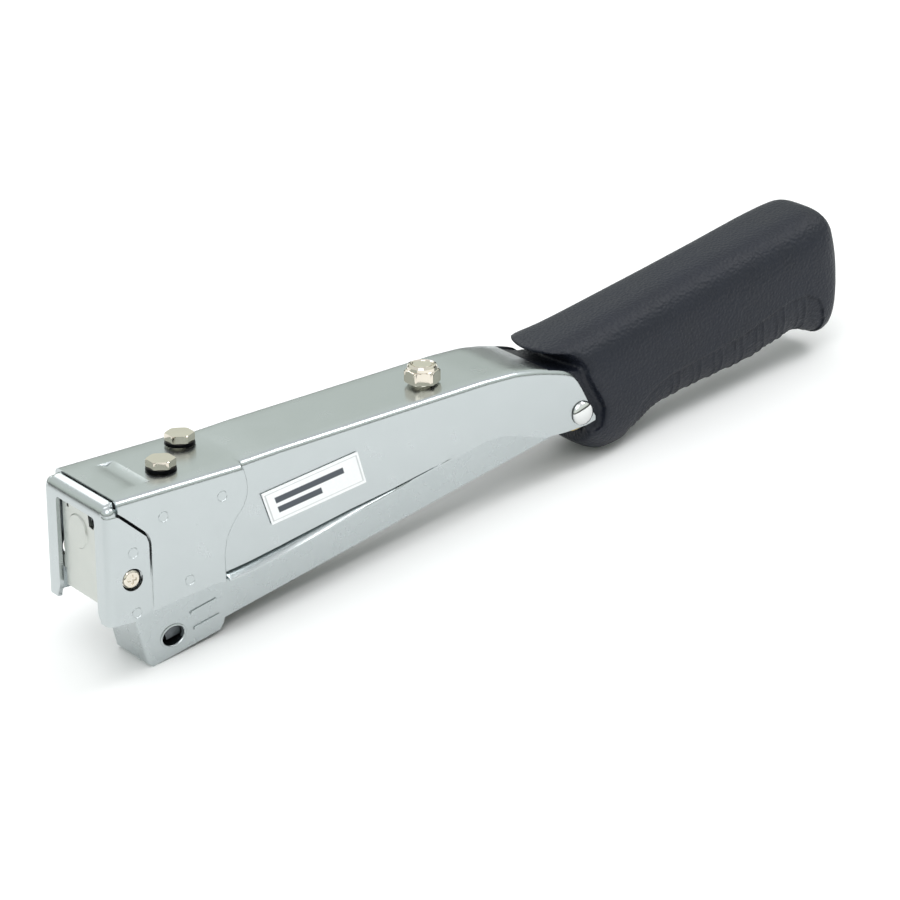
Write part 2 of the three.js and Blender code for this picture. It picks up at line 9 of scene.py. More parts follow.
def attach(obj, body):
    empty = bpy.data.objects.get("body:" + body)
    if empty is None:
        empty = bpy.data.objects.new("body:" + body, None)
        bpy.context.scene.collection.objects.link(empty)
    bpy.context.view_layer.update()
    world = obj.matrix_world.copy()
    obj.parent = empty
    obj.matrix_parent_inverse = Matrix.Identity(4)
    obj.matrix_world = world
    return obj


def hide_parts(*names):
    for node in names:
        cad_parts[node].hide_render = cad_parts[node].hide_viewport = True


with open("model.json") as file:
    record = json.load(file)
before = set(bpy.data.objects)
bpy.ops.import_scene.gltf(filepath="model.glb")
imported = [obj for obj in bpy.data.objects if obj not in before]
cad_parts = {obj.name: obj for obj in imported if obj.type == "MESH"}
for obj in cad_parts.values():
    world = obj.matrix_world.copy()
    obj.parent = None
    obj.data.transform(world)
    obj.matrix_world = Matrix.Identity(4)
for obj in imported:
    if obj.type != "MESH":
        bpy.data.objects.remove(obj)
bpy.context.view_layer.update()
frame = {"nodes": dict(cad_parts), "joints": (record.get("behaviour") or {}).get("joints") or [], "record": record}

# Hammer tacker: chromed pressed-steel body, swinging staple magazine and a moulded rubber grip.
# Places are in millimetres in two working frames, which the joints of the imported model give:
#   head frame      origin on the front wall, level with the head's top corner, x square to the wall
#   magazine frame  the same origin, turned so that x runs along the magazine
MM = 0.001
MAGAZINE_PITCH = math.radians(13.8)
PIVOT_X, PIVOT_Z = 168.9, -49.8
SHEET = 1.4
HEAD_HALF, BODY_HALF = 18.0, 15.6
SIDE_SCREW = (8.4, -22.4)
HEAD_BOLTS = {"head_bolt_front": (27.0, -5.0), "head_bolt_rear": (41.5, 8.0)}
STOP_STUD = (122.5, -3.5)
SIDEWAYS, UPWARDS = Vector((0, 1, 0)), Vector((0, 0, 1))

joints = {j["name"]: j for j in frame["joints"]}
pivot = Vector(joints["magazine_swing"]["pos_m"])
magazine_x = Vector(joints["follower_slide"]["axis"])
magazine_z = Vector((-magazine_x.z, 0, magazine_x.x))
origin = pivot - magazine_x * PIVOT_X * MM - magazine_z * PIVOT_Z * MM
head_x = magazine_x * math.cos(MAGAZINE_PITCH) - magazine_z * math.sin(MAGAZINE_PITCH)
head_z = magazine_x * math.sin(MAGAZINE_PITCH) + magazine_z * math.cos(MAGAZINE_PITCH)


def at_head(x, y, z):
    return origin + (head_x * x + Vector((0, y, 0)) + head_z * z) * MM


def at_magazine(x, y, z):
    return origin + (magazine_x * x + Vector((0, y, 0)) + magazine_z * z) * MM


def in_magazine(point):
    """The magazine frame's x, y and z of a point of the row."""
    away = (point - origin) / MM
    return away.dot(magazine_x), away.y, away.dot(magazine_z)


def top_at(x):
    """Height of the roof, which climbs away from the front wall."""
    return 1.9 + 0.064 * x


# ---------- camera ----------
CAMERA_AZIMUTH, CAMERA_ELEVATION, CAMERA_ROLL = (math.radians(a) for a in (35.7, 20.9, 0.33))
CAMERA_PLACE = (-448.5, -812.6, 365.8)
CAMERA_LENS = 136.0
SENSOR_WIDTH = 36.0


def make_camera():
    a, e, r = CAMERA_AZIMUTH, CAMERA_ELEVATION, CAMERA_ROLL
    back = Vector((-math.sin(a) * math.cos(e), -math.cos(a) * math.cos(e), math.sin(e)))
    right = Vector((math.cos(a), -math.sin(a), 0))
    up = back.cross(right)
    turned_right = right * math.cos(r) - up * math.sin(r)
    turned_up = right * math.sin(r) + up * math.cos(r)
    data = bpy.data.cameras.new("camera")
    data.lens, data.sensor_width = CAMERA_LENS, SENSOR_WIDTH
    data.clip_start, data.clip_end = 0.01, 20
    camera = bpy.data.objects.new("camera", data)
    axes = [at_head(*v) - origin for v in (turned_right, turned_up, back)]
    rows = Matrix([v.normalized() for v in axes]).transposed()
    camera.matrix_world = Matrix.Translation(at_head(*CAMERA_PLACE)) @ rows.to_4x4()
    bpy.context.scene.collection.objects.link(camera)
    bpy.context.scene.camera = camera


make_camera()


# ---------- materials ----------
PLATING_GRAIN_MM = 0.35
PLATING_RELIEF_MM = 0.1
WEAR_MM = 14


def linear(code):
    channels = [int(code[i:i + 2], 16) / 255 for i in (1, 3, 5)]
    return (*[c / 12.92 if c <= 0.04045 else ((c + 0.055) / 1.055) ** 2.4 for c in channels], 1)


def add_node(tree, kind, settings=None, links=None):
    node = tree.nodes.new(kind)
    for key, value in (settings or {}).items():
        if isinstance(key, int) or key in node.inputs:
            node.inputs[key].default_value = value
        else:
            setattr(node, key, value)
    for key, source in (links or {}).items():
        tree.links.new(source, node.inputs[key])
    return node


def new_material(name):
    material = bpy.data.materials.new(name)
    material.use_nodes = True
    tree = material.node_tree
    shader = tree.nodes["Principled BSDF"]
    place = add_node(tree, "ShaderNodeTexCoord").outputs["Object"]
    return material, tree, shader, place


def per_metre(size_mm):
    return 1000 / size_mm


def mixed(tree, light, dark, share):
    """A tint that drifts between two colours; share is the texture output that says how far."""
    tint = add_node(tree, "ShaderNodeMix", {"data_type": "RGBA", 6: linear(dark), 7: linear(light)},
                    {0: share})
    return tint.outputs[2]


def dress(tree, shader, light, dark, cloud, roughness, relief, strength, depth_mm):
    """Tint and polish that drift with a cloud texture, over a fine relief from another."""
    polish = add_node(tree, "ShaderNodeMapRange", {"To Min": roughness[0], "To Max": roughness[1]},
                      {"Value": cloud})
    bump = add_node(tree, "ShaderNodeBump", {"Strength": strength, "Distance": depth_mm * MM},
                    {"Height": relief})
    tree.links.new(mixed(tree, light, dark, cloud), shader.inputs["Base Color"])
    tree.links.new(polish.outputs["Result"], shader.inputs["Roughness"])
    tree.links.new(bump.outputs["Normal"], shader.inputs["Normal"])


def metal(name, light, dark, roughness, grain, cloud_mm=9):
    """Plated or bare metal: cloudy tint, uneven polish and the faint orange peel that plating leaves."""
    material, tree, shader, place = new_material(name)
    shader.inputs["Metallic"].default_value = 1
    cloud = add_node(tree, "ShaderNodeTexNoise", {"Scale": per_metre(cloud_mm), "Detail": 4},
                     {"Vector": place})
    fine = add_node(tree, "ShaderNodeTexNoise", {"Scale": per_metre(PLATING_GRAIN_MM), "Detail": 3},
                    {"Vector": place})
    dress(tree, shader, light, dark, cloud.outputs["Fac"], (roughness * 0.8, roughness * 1.25),
          fine.outputs["Fac"], grain, PLATING_RELIEF_MM)
    return material


def moulded(name, light, dark, roughness, cell_mm, depth_mm, strength, specular=0.5):
    """Moulded rubber or plastic with a fine leather-like grain from the mould."""
    material, tree, shader, place = new_material(name)
    shader.inputs["Specular IOR Level"].default_value = specular
    cells = add_node(tree, "ShaderNodeTexVoronoi", {"Scale": per_metre(cell_mm), "feature": "SMOOTH_F1"},
                     {"Vector": place})
    wear = add_node(tree, "ShaderNodeTexNoise", {"Scale": per_metre(WEAR_MM), "Detail": 5}, {"Vector": place})
    dress(tree, shader, light, dark, wear.outputs["Fac"], (roughness - 0.06, roughness + 0.08),
          cells.outputs["Distance"], strength, depth_mm)
    return material


# Bright chromium over pressed mild steel: pale, slightly soft reflections.
BODY_CHROME = metal("chromium_plated_pressed_steel", "#c0c6c7", "#b8bebf", 0.25, 0.1)
MAGAZINE_CHROME = metal("chromium_plated_folded_steel", "#bfc5c6", "#b5bcbd", 0.27, 0.1)
# Chromium over a polished, spun head: sharper and whiter than on the pressed sheet.
RIVET_CHROME = metal("polished_chromium_rivet", "#e4e5e4", "#d5d7d6", 0.1, 0.02)
# Stamped plate, nickel plated over a rolled finish: duller and a little warmer than the chromium.
WINDOW_NICKEL = metal("nickel_plated_stamping", "#cdcfca", "#bcc0bb", 0.34, 0.12)
# Bright nickel on cold-headed fasteners: warm and mirror-like.
FASTENER_NICKEL = metal("bright_nickel_fastener", "#e2dbce", "#d2cabc", 0.1, 0.03)
# The washer face under each bolt head is painted near black as painted shade: the dark undercut beneath the head
# and its reflection.
WASHER_PAINTED_SHADE = metal("washer_face_painted_shade", "#17181a", "#0e0f10", 0.3, 0.1, cloud_mm=2)
# Parts that work inside the casing: bare machined mild steel, grey and dull under an oil film.
BLOCK_STEEL = metal("machined_mild_steel", "#74787b", "#606467", 0.4, 0.12, cloud_mm=5)
# The inside faces of the folded sheets: duller steel with an oil film where plating hardly reaches, painted darker
# still as painted shade for the hollows inside the shell and the magazine.
LINING_PAINTED_SHADE = metal("steel_lining_painted_shade", "#4c4f52", "#3a3d40", 0.5, 0.1, cloud_mm=6)
# Oil-tempered spring wire and blade: a blue-grey film from the quench.
SPRING_STEEL = metal("oil_tempered_spring_steel", "#878b90", "#72767b", 0.32, 0.08, cloud_mm=4)
# Zinc plate with a yellow passivation dip: soft brassy sheen, patchy in tone.
YELLOW_ZINC = metal("yellow_passivated_zinc", "#c6b483", "#b3a071", 0.36, 0.1, cloud_mm=3)
# Soft moulded rubber, dark navy. The leather grain of its mould is drawn 0.9 mm across, as coarse as it
# needs to be to show.
GRIP_RUBBER = moulded("grained_moulded_rubber", "#191e2a", "#12161f", 0.5, 0.9, 0.3, 0.9, 0.38)
# Plain moulded black rubber: matte, with hardly any grain.
BUMPER_RUBBER = moulded("plain_black_rubber", "#212326", "#191b1d", 0.75, 0.6, 0.05, 0.3)
# Uncoloured injection-moulded nylon: off-white with a low waxy sheen.
NYLON = moulded("natural_nylon", "#e6e4dc", "#dad8ce", 0.45, 1.5, 0.02, 0.1)


def printed_film():
    """White printed polyester film: two plain slate bars on white, inside a thin grey line."""
    material, tree, shader, place = new_material("printed_polyester_film")
    shader.inputs["Roughness"].default_value = 0.3
    shader.inputs["Coat Weight"].default_value = 0.3
    where = add_node(tree, "ShaderNodeAttribute", {"attribute_name": "print"})
    grain = add_node(tree, "ShaderNodeTexNoise", {"Scale": per_metre(0.8)}, {"Vector": place})
    paper = mixed(tree, "#f6f7f8", "#e9ebec", grain.outputs["Fac"])
    ink = add_node(tree, "ShaderNodeMix", {"data_type": "RGBA", 7: linear("#3a424b")},
                   {0: where.outputs["Fac"], 6: paper})
    tree.links.new(ink.outputs[2], shader.inputs["Base Color"])
    return material


SLOTS = {
    "chrome_sheet": BODY_CHROME, "magazine_chrome": MAGAZINE_CHROME, "rivet_chrome": RIVET_CHROME,
    "plate_steel": WINDOW_NICKEL, "block_steel": BLOCK_STEEL, "spring_steel": SPRING_STEEL,
    "nickel": FASTENER_NICKEL, "yellow_zinc": YELLOW_ZINC, "grip_rubber": GRIP_RUBBER,
    "bumper_rubber": BUMPER_RUBBER, "nylon": NYLON, "label": printed_film(),
}
SLOT_OF = {s["node"]: s["material_slot"] for s in frame["record"]["subparts"]}
BODY_OF = {n: body for body, nodes in frame["record"]["behaviour"]["bodies"].items() for n in nodes}


# ---------- mesh helpers ----------
def new_piece(name, points, faces, place=None):
    mesh = bpy.data.meshes.new(name)
    mesh.from_pydata([place(*p) if place else p for p in points], [], faces)
    piece = bpy.data.objects.new(name, mesh)
    bpy.context.scene.collection.objects.link(piece)
    return piece


def weld(piece, work=None):
    """Runs a step of mesh work, if there is one, then merges doubles and turns the faces outwards."""
    bm = bmesh.new()
    bm.from_mesh(piece.data)
    if work:
        work(bm)
    bmesh.ops.remove_doubles(bm, verts=bm.verts, dist=1e-7)
    bmesh.ops.recalc_face_normals(bm, faces=bm.faces)
    bm.to_mesh(piece.data)
    bm.free()


def settle(piece):
    """Turns the piece's modifiers into plain mesh."""
    seen = piece.evaluated_get(bpy.context.evaluated_depsgraph_get())
    mesh = bpy.data.meshes.new_from_object(seen)
    piece.modifiers.clear()
    piece.data = mesh


def modify(piece, kind, **settings):
    modifier = piece.modifiers.new(kind.lower(), kind)
    for key, value in settings.items():
        setattr(modifier, key, value)


def bevel(piece, width_mm, segments=3, angle=30):
    modify(piece, "BEVEL", width=width_mm * MM, segments=segments, limit_method="ANGLE",
           angle_limit=math.radians(angle), use_clamp_overlap=True, miter_outer="MITER_ARC")
    settle(piece)


def combine(piece, tool, operation="DIFFERENCE"):
    modify(piece, "BOOLEAN", object=tool, operation=operation, solver="EXACT")
    settle(piece)
    bpy.data.objects.remove(tool)


def add_to(piece, extra):
    """Joins a finished shape to a piece as it is, without cutting either."""
    bm = bmesh.new()
    bm.from_mesh(piece.data)
    bm.from_mesh(extra.data)
    bm.to_mesh(piece.data)
    bm.free()
    bpy.data.objects.remove(extra)


def thicken(piece, outwards, chosen=lambda face: True, **settings):
    """Turns an open sheet so that its chosen faces look outwards, and grows its thickness inwards."""
    if sum(face.normal.dot(outwards) for face in piece.data.polygons if chosen(face)) < 0:
        piece.data.flip_normals()
    modify(piece, "SOLIDIFY", **{"thickness": SHEET * MM, "offset": -1, **settings})
    settle(piece)


def hand_over(piece, node, angle=32, flat_faces=False):
    """Gives a finished piece its shading, material, slot and body. flat_faces keeps broad faces flat."""
    piece.data.shade_smooth()
    piece.data.set_sharp_from_angle(angle=math.radians(angle))
    if flat_faces:
        modify(piece, "WEIGHTED_NORMAL", weight=100, keep_sharp=True)
        settle(piece)
    piece.data.materials.clear()
    piece.data.materials.append(SLOTS[SLOT_OF[node]])
    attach(piece, BODY_OF[node])
    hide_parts(node)


def finish_apart(piece, material, chosen):
    """Gives the chosen faces of a piece a second material: here the painted shade under the bolt heads and inside
    the sheets.
    """
    piece.data.materials.append(material)
    for face in piece.data.polygons:
        if chosen(face):
            face.material_index = 1


def softened(node, width_mm, before=None):
    """A copy of a CAD piece with the broken edges that a made part has."""
    piece = bpy.data.objects.new(node + "_made", frame["nodes"][node].data.copy())
    bpy.context.scene.collection.objects.link(piece)

    def work(bm):
        bmesh.ops.remove_doubles(bm, verts=bm.verts, dist=1e-6)
        bmesh.ops.dissolve_limit(bm, angle_limit=math.radians(0.4), verts=bm.verts, edges=bm.edges)
        if before:
            before(bm)
    weld(piece, work)
    bevel(piece, width_mm)
    return piece


def lofted(name, rows, place, closed=False, skip=None, caps=False):
    """A skin over equal rows of points. closed joins each row's end to its start."""
    count = len(rows[0])
    points = [p for row in rows for p in row]
    faces = []
    for r in range(len(rows) - 1):
        for i in range(count if closed else count - 1):
            j = (i + 1) % count
            if skip is None or not skip(r, i):
                faces.append((r * count + i, r * count + j, (r + 1) * count + j, (r + 1) * count + i))
    if caps:
        faces.append(tuple(range(count)))
        faces.append(tuple((len(rows) - 1) * count + i for i in reversed(range(count))))
    piece = new_piece(name, points, faces, place)
    weld(piece)
    return piece


def prism(name, outline, low, high, place, axis="y"):
    """An outline carried from low to high: across the tool ("y"), or along it ("x")."""
    count = len(outline)
    if axis == "y":
        points = [(a, y, b) for y in (low, high) for a, b in outline]
    else:
        points = [(x, a, b) for x in (low, high) for a, b in outline]
    sides = [(i, (i + 1) % count, count + (i + 1) % count, count + i) for i in range(count)]
    ends = [tuple(range(count)), tuple(range(2 * count - 1, count - 1, -1))]
    piece = new_piece(name, points, [*sides, *ends], place)
    weld(piece)
    return piece


def along_points(points, x):
    """Height of a line of (x, height) points at x."""
    xs = [p[0] for p in points]
    if x <= xs[0]:
        return points[0][1]
    if x >= xs[-1]:
        return points[-1][1]
    i = bisect_right(xs, x)
    (x0, z0), (x1, z1) = points[i - 1], points[i]
    return z0 + (z1 - z0) * (x - x0) / (x1 - x0)


def eased(points, x, reach):
    """The same line with its corners rounded over a reach."""
    steps = [-1, -0.6, -0.2, 0.2, 0.6, 1]
    return sum(along_points(points, x + s * reach) for s in steps) / len(steps)


def clamped(t):
    return max(0.0, min(1.0, t))


def ease(t):
    """Runs smoothly from 0 to 1 while t does."""
    t = clamped(t)
    return t * t * (3 - 2 * t)


def rounded(outline, radii, steps=5):
    """An outline with its corners rounded, each over its own reach."""
    result = []
    count = len(outline)
    for i, (x, z) in enumerate(outline):
        corner = Vector((x, z))
        before = Vector(outline[i - 1]) - corner
        after = Vector(outline[(i + 1) % count]) - corner
        reach = min(radii[i], before.length * 0.45, after.length * 0.45)
        if reach <= 0:
            result.append((x, z))
            continue
        a, b = corner + before.normalized() * reach, corner + after.normalized() * reach
        for s in range(steps + 1):
            t = s / steps
            p = a * (1 - t) ** 2 + corner * (2 * t * (1 - t)) + b * t ** 2
            result.append((p.x, p.y))
    return result


def turns(count):
    return [math.tau * i / count for i in range(count)]


def oval(x, z, long, tall=None):
    """Points round an oval, or round a circle where only one radius is given."""
    return [(x + long * math.cos(t), z + (tall or long) * math.sin(t)) for t in turns(36)]


def bead(path, y, radius, place):
    """A raised round bead that follows a closed line of (x, z) on one side of the tool."""
    rows = []
    for i, (x, z) in enumerate(path):
        (x0, z0), (x1, z1) = path[i - 1], path[(i + 1) % len(path)]
        length = math.hypot(x1 - x0, z1 - z0)
        nx, nz = (z1 - z0) / length, (x0 - x1) / length
        rows.append([(x + nx * radius * math.cos(t), y + radius * math.sin(t), z + nz * radius * math.cos(t))
                     for t in turns(9)])
    return lofted("bead", [*rows, rows[0]], place, closed=True)


def spot_weld(piece, side, x, z):
    """The faint raised ring that a spot weld leaves on the outside of the head."""
    add_to(piece, bead(oval(x, z, 1.6), side * (HEAD_HALF - 0.04), 0.17, at_head))


# ---------- body shell ----------
# Lines on the side of the shell. The front edge and the step are (height, x), the others (x, height).
FRONT_EDGE = [(-33.9, 15.2), (-12, 15.2), (-9.4, 14.4), (-1.7, 5.6), (-1.2, 4.3), (3, 4.3)]
STEP_EDGE = [(-33, 41), (-22, 40.8), (-17, 41.8), (-12.6, 44.2), (-8.8, 47.8), (-5, 49.3), (-0.5, 49.2),
             (5, 47.5)]
TOP_EDGE = [(4, top_at(4)), (138, top_at(138)), (150, 10.9), (158, 9.9), (166, 8.2), (171, 6.8),
            (174, 4.4), (176.6, 0), (179.2, -5), (181.6, -11.2)]
LOW_EDGE = [(15.2, -33.9), (38, -30.8), (44, -31.1), (48, -30.9), (62.9, -27.4), (138.5, -9.3), (145, -9.1),
            (153, -11), (161, -13.3), (169.6, -13.3), (178, -12.6), (181.6, -11.6)]
WEDGE_LINE = [(41, -29.6), (50.4, -28.0), (64.8, -24.6), (86.7, -19.8), (101.6, -17.0), (124.3, -11.9),
              (134, -8.8), (146, -7.6), (160, -11.4), (178, -10.4), (181.6, -10.6)]
SHELL_WELDS = [(19.6, -5.3), (39.9, -3.6), (27.9, -27.4)]
FRONT_ROUNDING, STEP_ROUNDING, TOP_ROUNDING, TOP_CORNER = 0.6, 1.5, 1.2, 2.0
STEP_RUN = 1.4
# Stations along the shell: shares of the head's side, distances either side of the step's middle, shares of
# the gap behind it, then even stations up to the end of the roof and closer ones down the cheeks.
HEAD_SHARES = [0, 0.03, 0.08, 0.15, 0.2385, 0.3, 0.367, 0.3725, 0.45, 0.55, 0.65, 0.75, 0.85, 0.93, 1]
STEP_STATIONS = [-0.8, -0.5, -0.25, 0, 0.25, 0.5, 0.8, 1.2, 1.6, 2.2]
GAP_SHARES = [0.16, 0.4, 0.7]
EVEN_START, EVEN_PITCH, EVEN_COUNT = 62, 2.5, 41
ROOF_END = 163.0
CHEEK_STATIONS = [165, 167, 169, 171, 172.5, 174, 175.5, 177, 178.5, 180, 181.3]
FIRST_BODY_COLUMN = len(HEAD_SHARES) + STEP_STATIONS.index(0.8)
MIDDLE_HEIGHT = -15
STRIP_START, STRIP_RUN = 112, 60
GROOVE_START, GROOVE_RUN, GROOVE_DEPTH = 96, 34, 0.9
STRIP_LEAN = [0, 0, 0, 0, 0, 0.3, 0.75, 1, 1]
GROOVE_FIRST_LEVEL = 7
PANEL_LEVELS = 18
ROOF_LINES = [-10.5, -10.2, -6, 0, 6, 10.2, 10.5]
SLOT_FRONT, SLOT_REAR, SLOT_HALF, SLOT_RUN, SLOT_DEPTH = 14.2, 19.75, 10.4, 5.5, 1.4


def body_half(x, z):
    """Half the width of the side panels: the head's before the step, the body's after it."""
    past_step = x - eased(STEP_EDGE, z, STEP_ROUNDING)
    return BODY_HALF + (HEAD_HALF - BODY_HALF) * (1 - ease((past_step + STEP_RUN / 2) / STEP_RUN))


def flare(x):
    """How far the lower strip stands out from the body panel."""
    return (HEAD_HALF - BODY_HALF) * clamped((STRIP_START - x) / STRIP_RUN)


def shell_columns(z):
    """The x of every station at one height."""
    front, step = eased(FRONT_EDGE, z, FRONT_ROUNDING), eased(STEP_EDGE, z, STEP_ROUNDING)
    stations = [front + (step - STEP_RUN - front) * s for s in HEAD_SHARES]
    stations += [step + d for d in STEP_STATIONS]
    stations += [step + STEP_RUN + (EVEN_START - step - STEP_RUN) * s for s in GAP_SHARES]
    stations += [EVEN_START + EVEN_PITCH * i for i in range(EVEN_COUNT)]
    return [*stations, ROOF_END, *CHEEK_STATIONS]


def side_levels(x, low, shoulder):
    """Heights from the lower edge to the shoulder: lower strip, ledge over it, wedge line and panel."""
    wedge = min(along_points(WEDGE_LINE, x), shoulder - 0.4)
    ledge = max(low + 0.2, wedge - 0.5 - 1.3 * (1 - ease((x - 70) / 50)))
    levels = [low + (ledge - low) * s for s in (0, 0.06, 0.5, 0.9, 1)]
    levels += [ledge + (wedge - ledge) * s for s in (0.25, 0.5, 0.75, 1)]
    panel_low = wedge + 0.12 * min(1, shoulder - wedge)
    return levels + [panel_low + (shoulder - panel_low) * s / PANEL_LEVELS for s in range(PANEL_LEVELS + 1)]


def slot_depth(x, y):
    """Depth of the ramp that is pressed into the roof of the head and ends in a slot."""
    inside = SLOT_FRONT < x < SLOT_REAR and abs(y) < SLOT_HALF
    return SLOT_DEPTH * clamped((x - SLOT_FRONT) / SLOT_RUN) if inside else 0


def shell_section(column):
    """One ring of the shell, from the near lower edge over the top to the far lower edge."""
    x = shell_columns(MIDDLE_HEIGHT)[column]
    low, top = along_points(LOW_EDGE, x), eased(TOP_EDGE, x, TOP_ROUNDING)
    radius = min(TOP_CORNER, max(0.1, (top - low) * 0.3))
    shoulder = top - radius
    past_step = column - FIRST_BODY_COLUMN
    groove = ease(past_step / 2) * (1 - ease((x - GROOVE_START) / GROOVE_RUN))
    strip = BODY_HALF + flare(x)
    side = []
    for row, z in enumerate(side_levels(x, low, shoulder)):
        xz = shell_columns(z)[column]
        half = body_half(xz, z)
        if past_step >= 0 and row < len(STRIP_LEAN):
            sunk = GROOVE_DEPTH * groove if row >= GROOVE_FIRST_LEVEL else 0
            half = strip + (BODY_HALF - strip) * STRIP_LEAN[row] - sunk
        side.append((xz, -half, z))
    xt = shell_columns(top)[column]
    half = body_half(xt, top)
    for s in range(1, 7):
        angle = math.radians(15 * s)
        side.append((xt, -half + radius * (1 - math.cos(angle)), shoulder + radius * math.sin(angle)))
    roof = [(xt, y, top - slot_depth(xt, y)) for y in ROOF_LINES]
    return [*side, *roof, *[(px, -y, z) for px, y, z in reversed(side)]]


def outer_shell():
    rows = [shell_section(c) for c in range(len(shell_columns(0)))]
    count = len(rows[0])
    per_side = (count - len(ROOF_LINES)) // 2
    last_roof = shell_columns(0).index(ROOF_END)

    def open_roof(r, i):
        return r >= last_roof and per_side - 3 <= i < count - per_side + 2
    piece = lofted("outer_shell_sheet", rows, at_head, skip=open_roof)
    roof_level = at_head(80, 0, 5).z
    thicken(piece, UPWARDS, lambda face: face.center.z > roof_level, use_even_offset=False)
    for side in (-1, 1):
        for x, z in SHELL_WELDS:
            spot_weld(piece, side, x, z)
    hand_over(piece, "outer_shell", angle=38)
    inner_half = HEAD_HALF - SHEET + 0.1

    # The shell's inward faces are painted dark grey: partly duller unplated steel, partly painted shade inside the
    # hollow shell.
    def inside(face):
        y = face.center.y / MM
        looks_in = abs(y) < 1 or face.normal.y * y < 0.02
        looks_down = face.normal.dot(head_z) < 0.6 and face.normal.dot(head_x) > -0.6
        return abs(y) < inner_half and looks_in and looks_down
    finish_apart(piece, LINING_PAINTED_SHADE, inside)


outer_shell()


# ---------- front cover ----------
COVER_BEND = 2.2
COVER_WALL = [-12, -8, -4, 0, 4, 8, 12]
COVER_LEVELS = [-35.8, -35.4, -34.6, -33.8, -33, -28, -22, -16, -13, -12, -10, -8, -6, -4, -2.6, -2.1, -1.6]
COVER_REAR = [(-12.3, 14.4), (-10, 13.6), (-2.1, 4.6), (-1.5, 3.4)]
CHAMFER_START, CHAMFER_CUT, CHAMFER_RUN = -33.4, 5.0, 2.4
CROWN_ANGLES = (18, 36, 54, 72, 86)
CROWN_RISE, CROWN_BACK, CROWN_PULL = 3.7, 4.25, 2.8
KNOB_RADIUS, KNOB_CENTRE = 2.5, (2.55, 15.45, -1.2)
SCREW_HOLE = 3.5
WINDOW = [(-13.4, -60), (-13.4, -35.6), (-11.6, -33.4), (-11.6, -3.2), (10.6, -3.2), (10.6, -32.4),
          (12, -34.8), (12, -60)]
WINDOW_ROUNDING = [0, 1.2, 1.2, 1.6, 1.6, 1.2, 1.2, 0]
COVER_WELDS = [(9, -14.1), (9.5, -33.2)]


def cover_section(z):
    """One level of the folded cover: near flap, bend, front wall, bend, far flap."""
    rear = along_points(COVER_REAR, z)
    if z < CHAMFER_START:
        rear = COVER_REAR[0][1] - CHAMFER_CUT * ease((CHAMFER_START - z) / CHAMFER_RUN)
    near = [(rear + (COVER_BEND - rear) * s / 5, -HEAD_HALF, z) for s in range(6)]
    for s in range(1, 7):
        angle = math.radians(15 * s)
        near.append((COVER_BEND * (1 - math.sin(angle)), -HEAD_HALF + COVER_BEND * (1 - math.cos(angle)), z))
    wall = [(0, y, z) for y in COVER_WALL]
    return [*near, *wall, *[(x, -y, z) for x, y, z in reversed(near)]]


def rolled_corner(side):
    """The knob that the bends of the wall and of the flap gather into at the top corner."""
    x, y, z = KNOB_CENTRE
    rows = []
    for i in range(1, 18):
        tilt = math.pi * i / 18
        across, height = KNOB_RADIUS * math.sin(tilt), z + KNOB_RADIUS * math.cos(tilt)
        rows.append([(x + across * math.cos(t), side * y + across * math.sin(t), height) for t in turns(28)])
    return lofted("rolled_corner", rows, at_head, closed=True, caps=True)


def crowned(row, angle):
    """The section at the top of the wall, carried back and drawn in as the sheet bends towards the roof."""
    turn = math.radians(angle)
    back, rise = 0.97 * (1 - math.cos(turn)), CROWN_RISE * math.sin(turn)
    pull = CROWN_PULL * math.sin(turn) / (HEAD_HALF - COVER_WALL[-1])
    crown = []
    for x, y, z in row:
        beyond = max(0.0, abs(y) - COVER_WALL[-1])
        crown.append((x + (CROWN_BACK - x) * back, math.copysign(abs(y) - beyond * pull, y), z + rise))
    return crown


def front_cover():
    rows = [cover_section(z) for z in COVER_LEVELS]
    rows += [crowned(rows[-1], angle) for angle in CROWN_ANGLES]
    piece = lofted("front_cover_sheet", rows, at_head)
    thicken(piece, -head_x)
    combine(piece, prism("window_cutter", rounded(WINDOW, WINDOW_ROUNDING), -5, 3, at_head, axis="x"))
    for side in (-1, 1):
        low, high = sorted((side * 14, side * 22))
        combine(piece, prism("screw_cutter", oval(*SIDE_SCREW, SCREW_HOLE), low, high, at_head))
    bevel(piece, 0.25, 2, 45)
    for side in (-1, 1):
        add_to(piece, rolled_corner(side))
        for x, z in COVER_WELDS:
            spot_weld(piece, side, x, z)
    hand_over(piece, "front_cover", angle=38, flat_faces=True)


front_cover()


# ---------- the remaining metal pieces, with broken edges ----------
# Width in millimetres of the small bevel that breaks the edges of each.
BROKEN_EDGES = {
    "window_plate": 0.35, "driver_block": 0.5, "driver_blade": 0.15, "bumper_plate": 0.3,
    "rubber_bumper": 0.8, "staple_rail": 0.2, "follower": 0.3, "follower_tab": 0.25,
    "spring_seat": 0.3, "handle_tang": 0.3, "cover_spacer": 0.2, "stop_stud": 0.25,
    "side_screw_near": 0.15, "side_screw_far": 0.15, "pivot_bush": 0.2, "seat_pin": 0.25, "guide_rod": 0.25,
    "lock_nut_insert": 0.1, "tang_rivet": 0.3,
}
for node, width in BROKEN_EDGES.items():
    hand_over(softened(node, width), node, flat_faces=True)


# ---------- magazine and nose foot ----------
FOOT_HALF = 9.6
FOOT_FOLD = 2.2
FOOT_HOLE = (14.2, -52.8)
FOOT_HOLE_LONG, FOOT_HOLE_TALL = 3.9, 3.0
RIM_OUTSIDE, RIM_BEAD = 0.35, 0.45


def round_front_edges(bm):
    """The foot's two upright front edges are folded over a larger radius than the others."""
    upright = []
    for e in bm.edges:
        ends = [in_magazine(v.co) for v in e.verts]
        tall = abs(ends[0][2] - ends[1][2]) > 6
        at_corner = all(x < 6.5 and abs(y) > FOOT_HALF - 0.1 for x, y, _ in ends)
        if tall and at_corner and e.calc_face_angle(0) > 0.9:
            upright.append(e)
    bmesh.ops.bevel(bm, geom=upright, offset=FOOT_FOLD * MM, offset_type="OFFSET", segments=6, profile=0.5,
                    affect="EDGES", clamp_overlap=True)


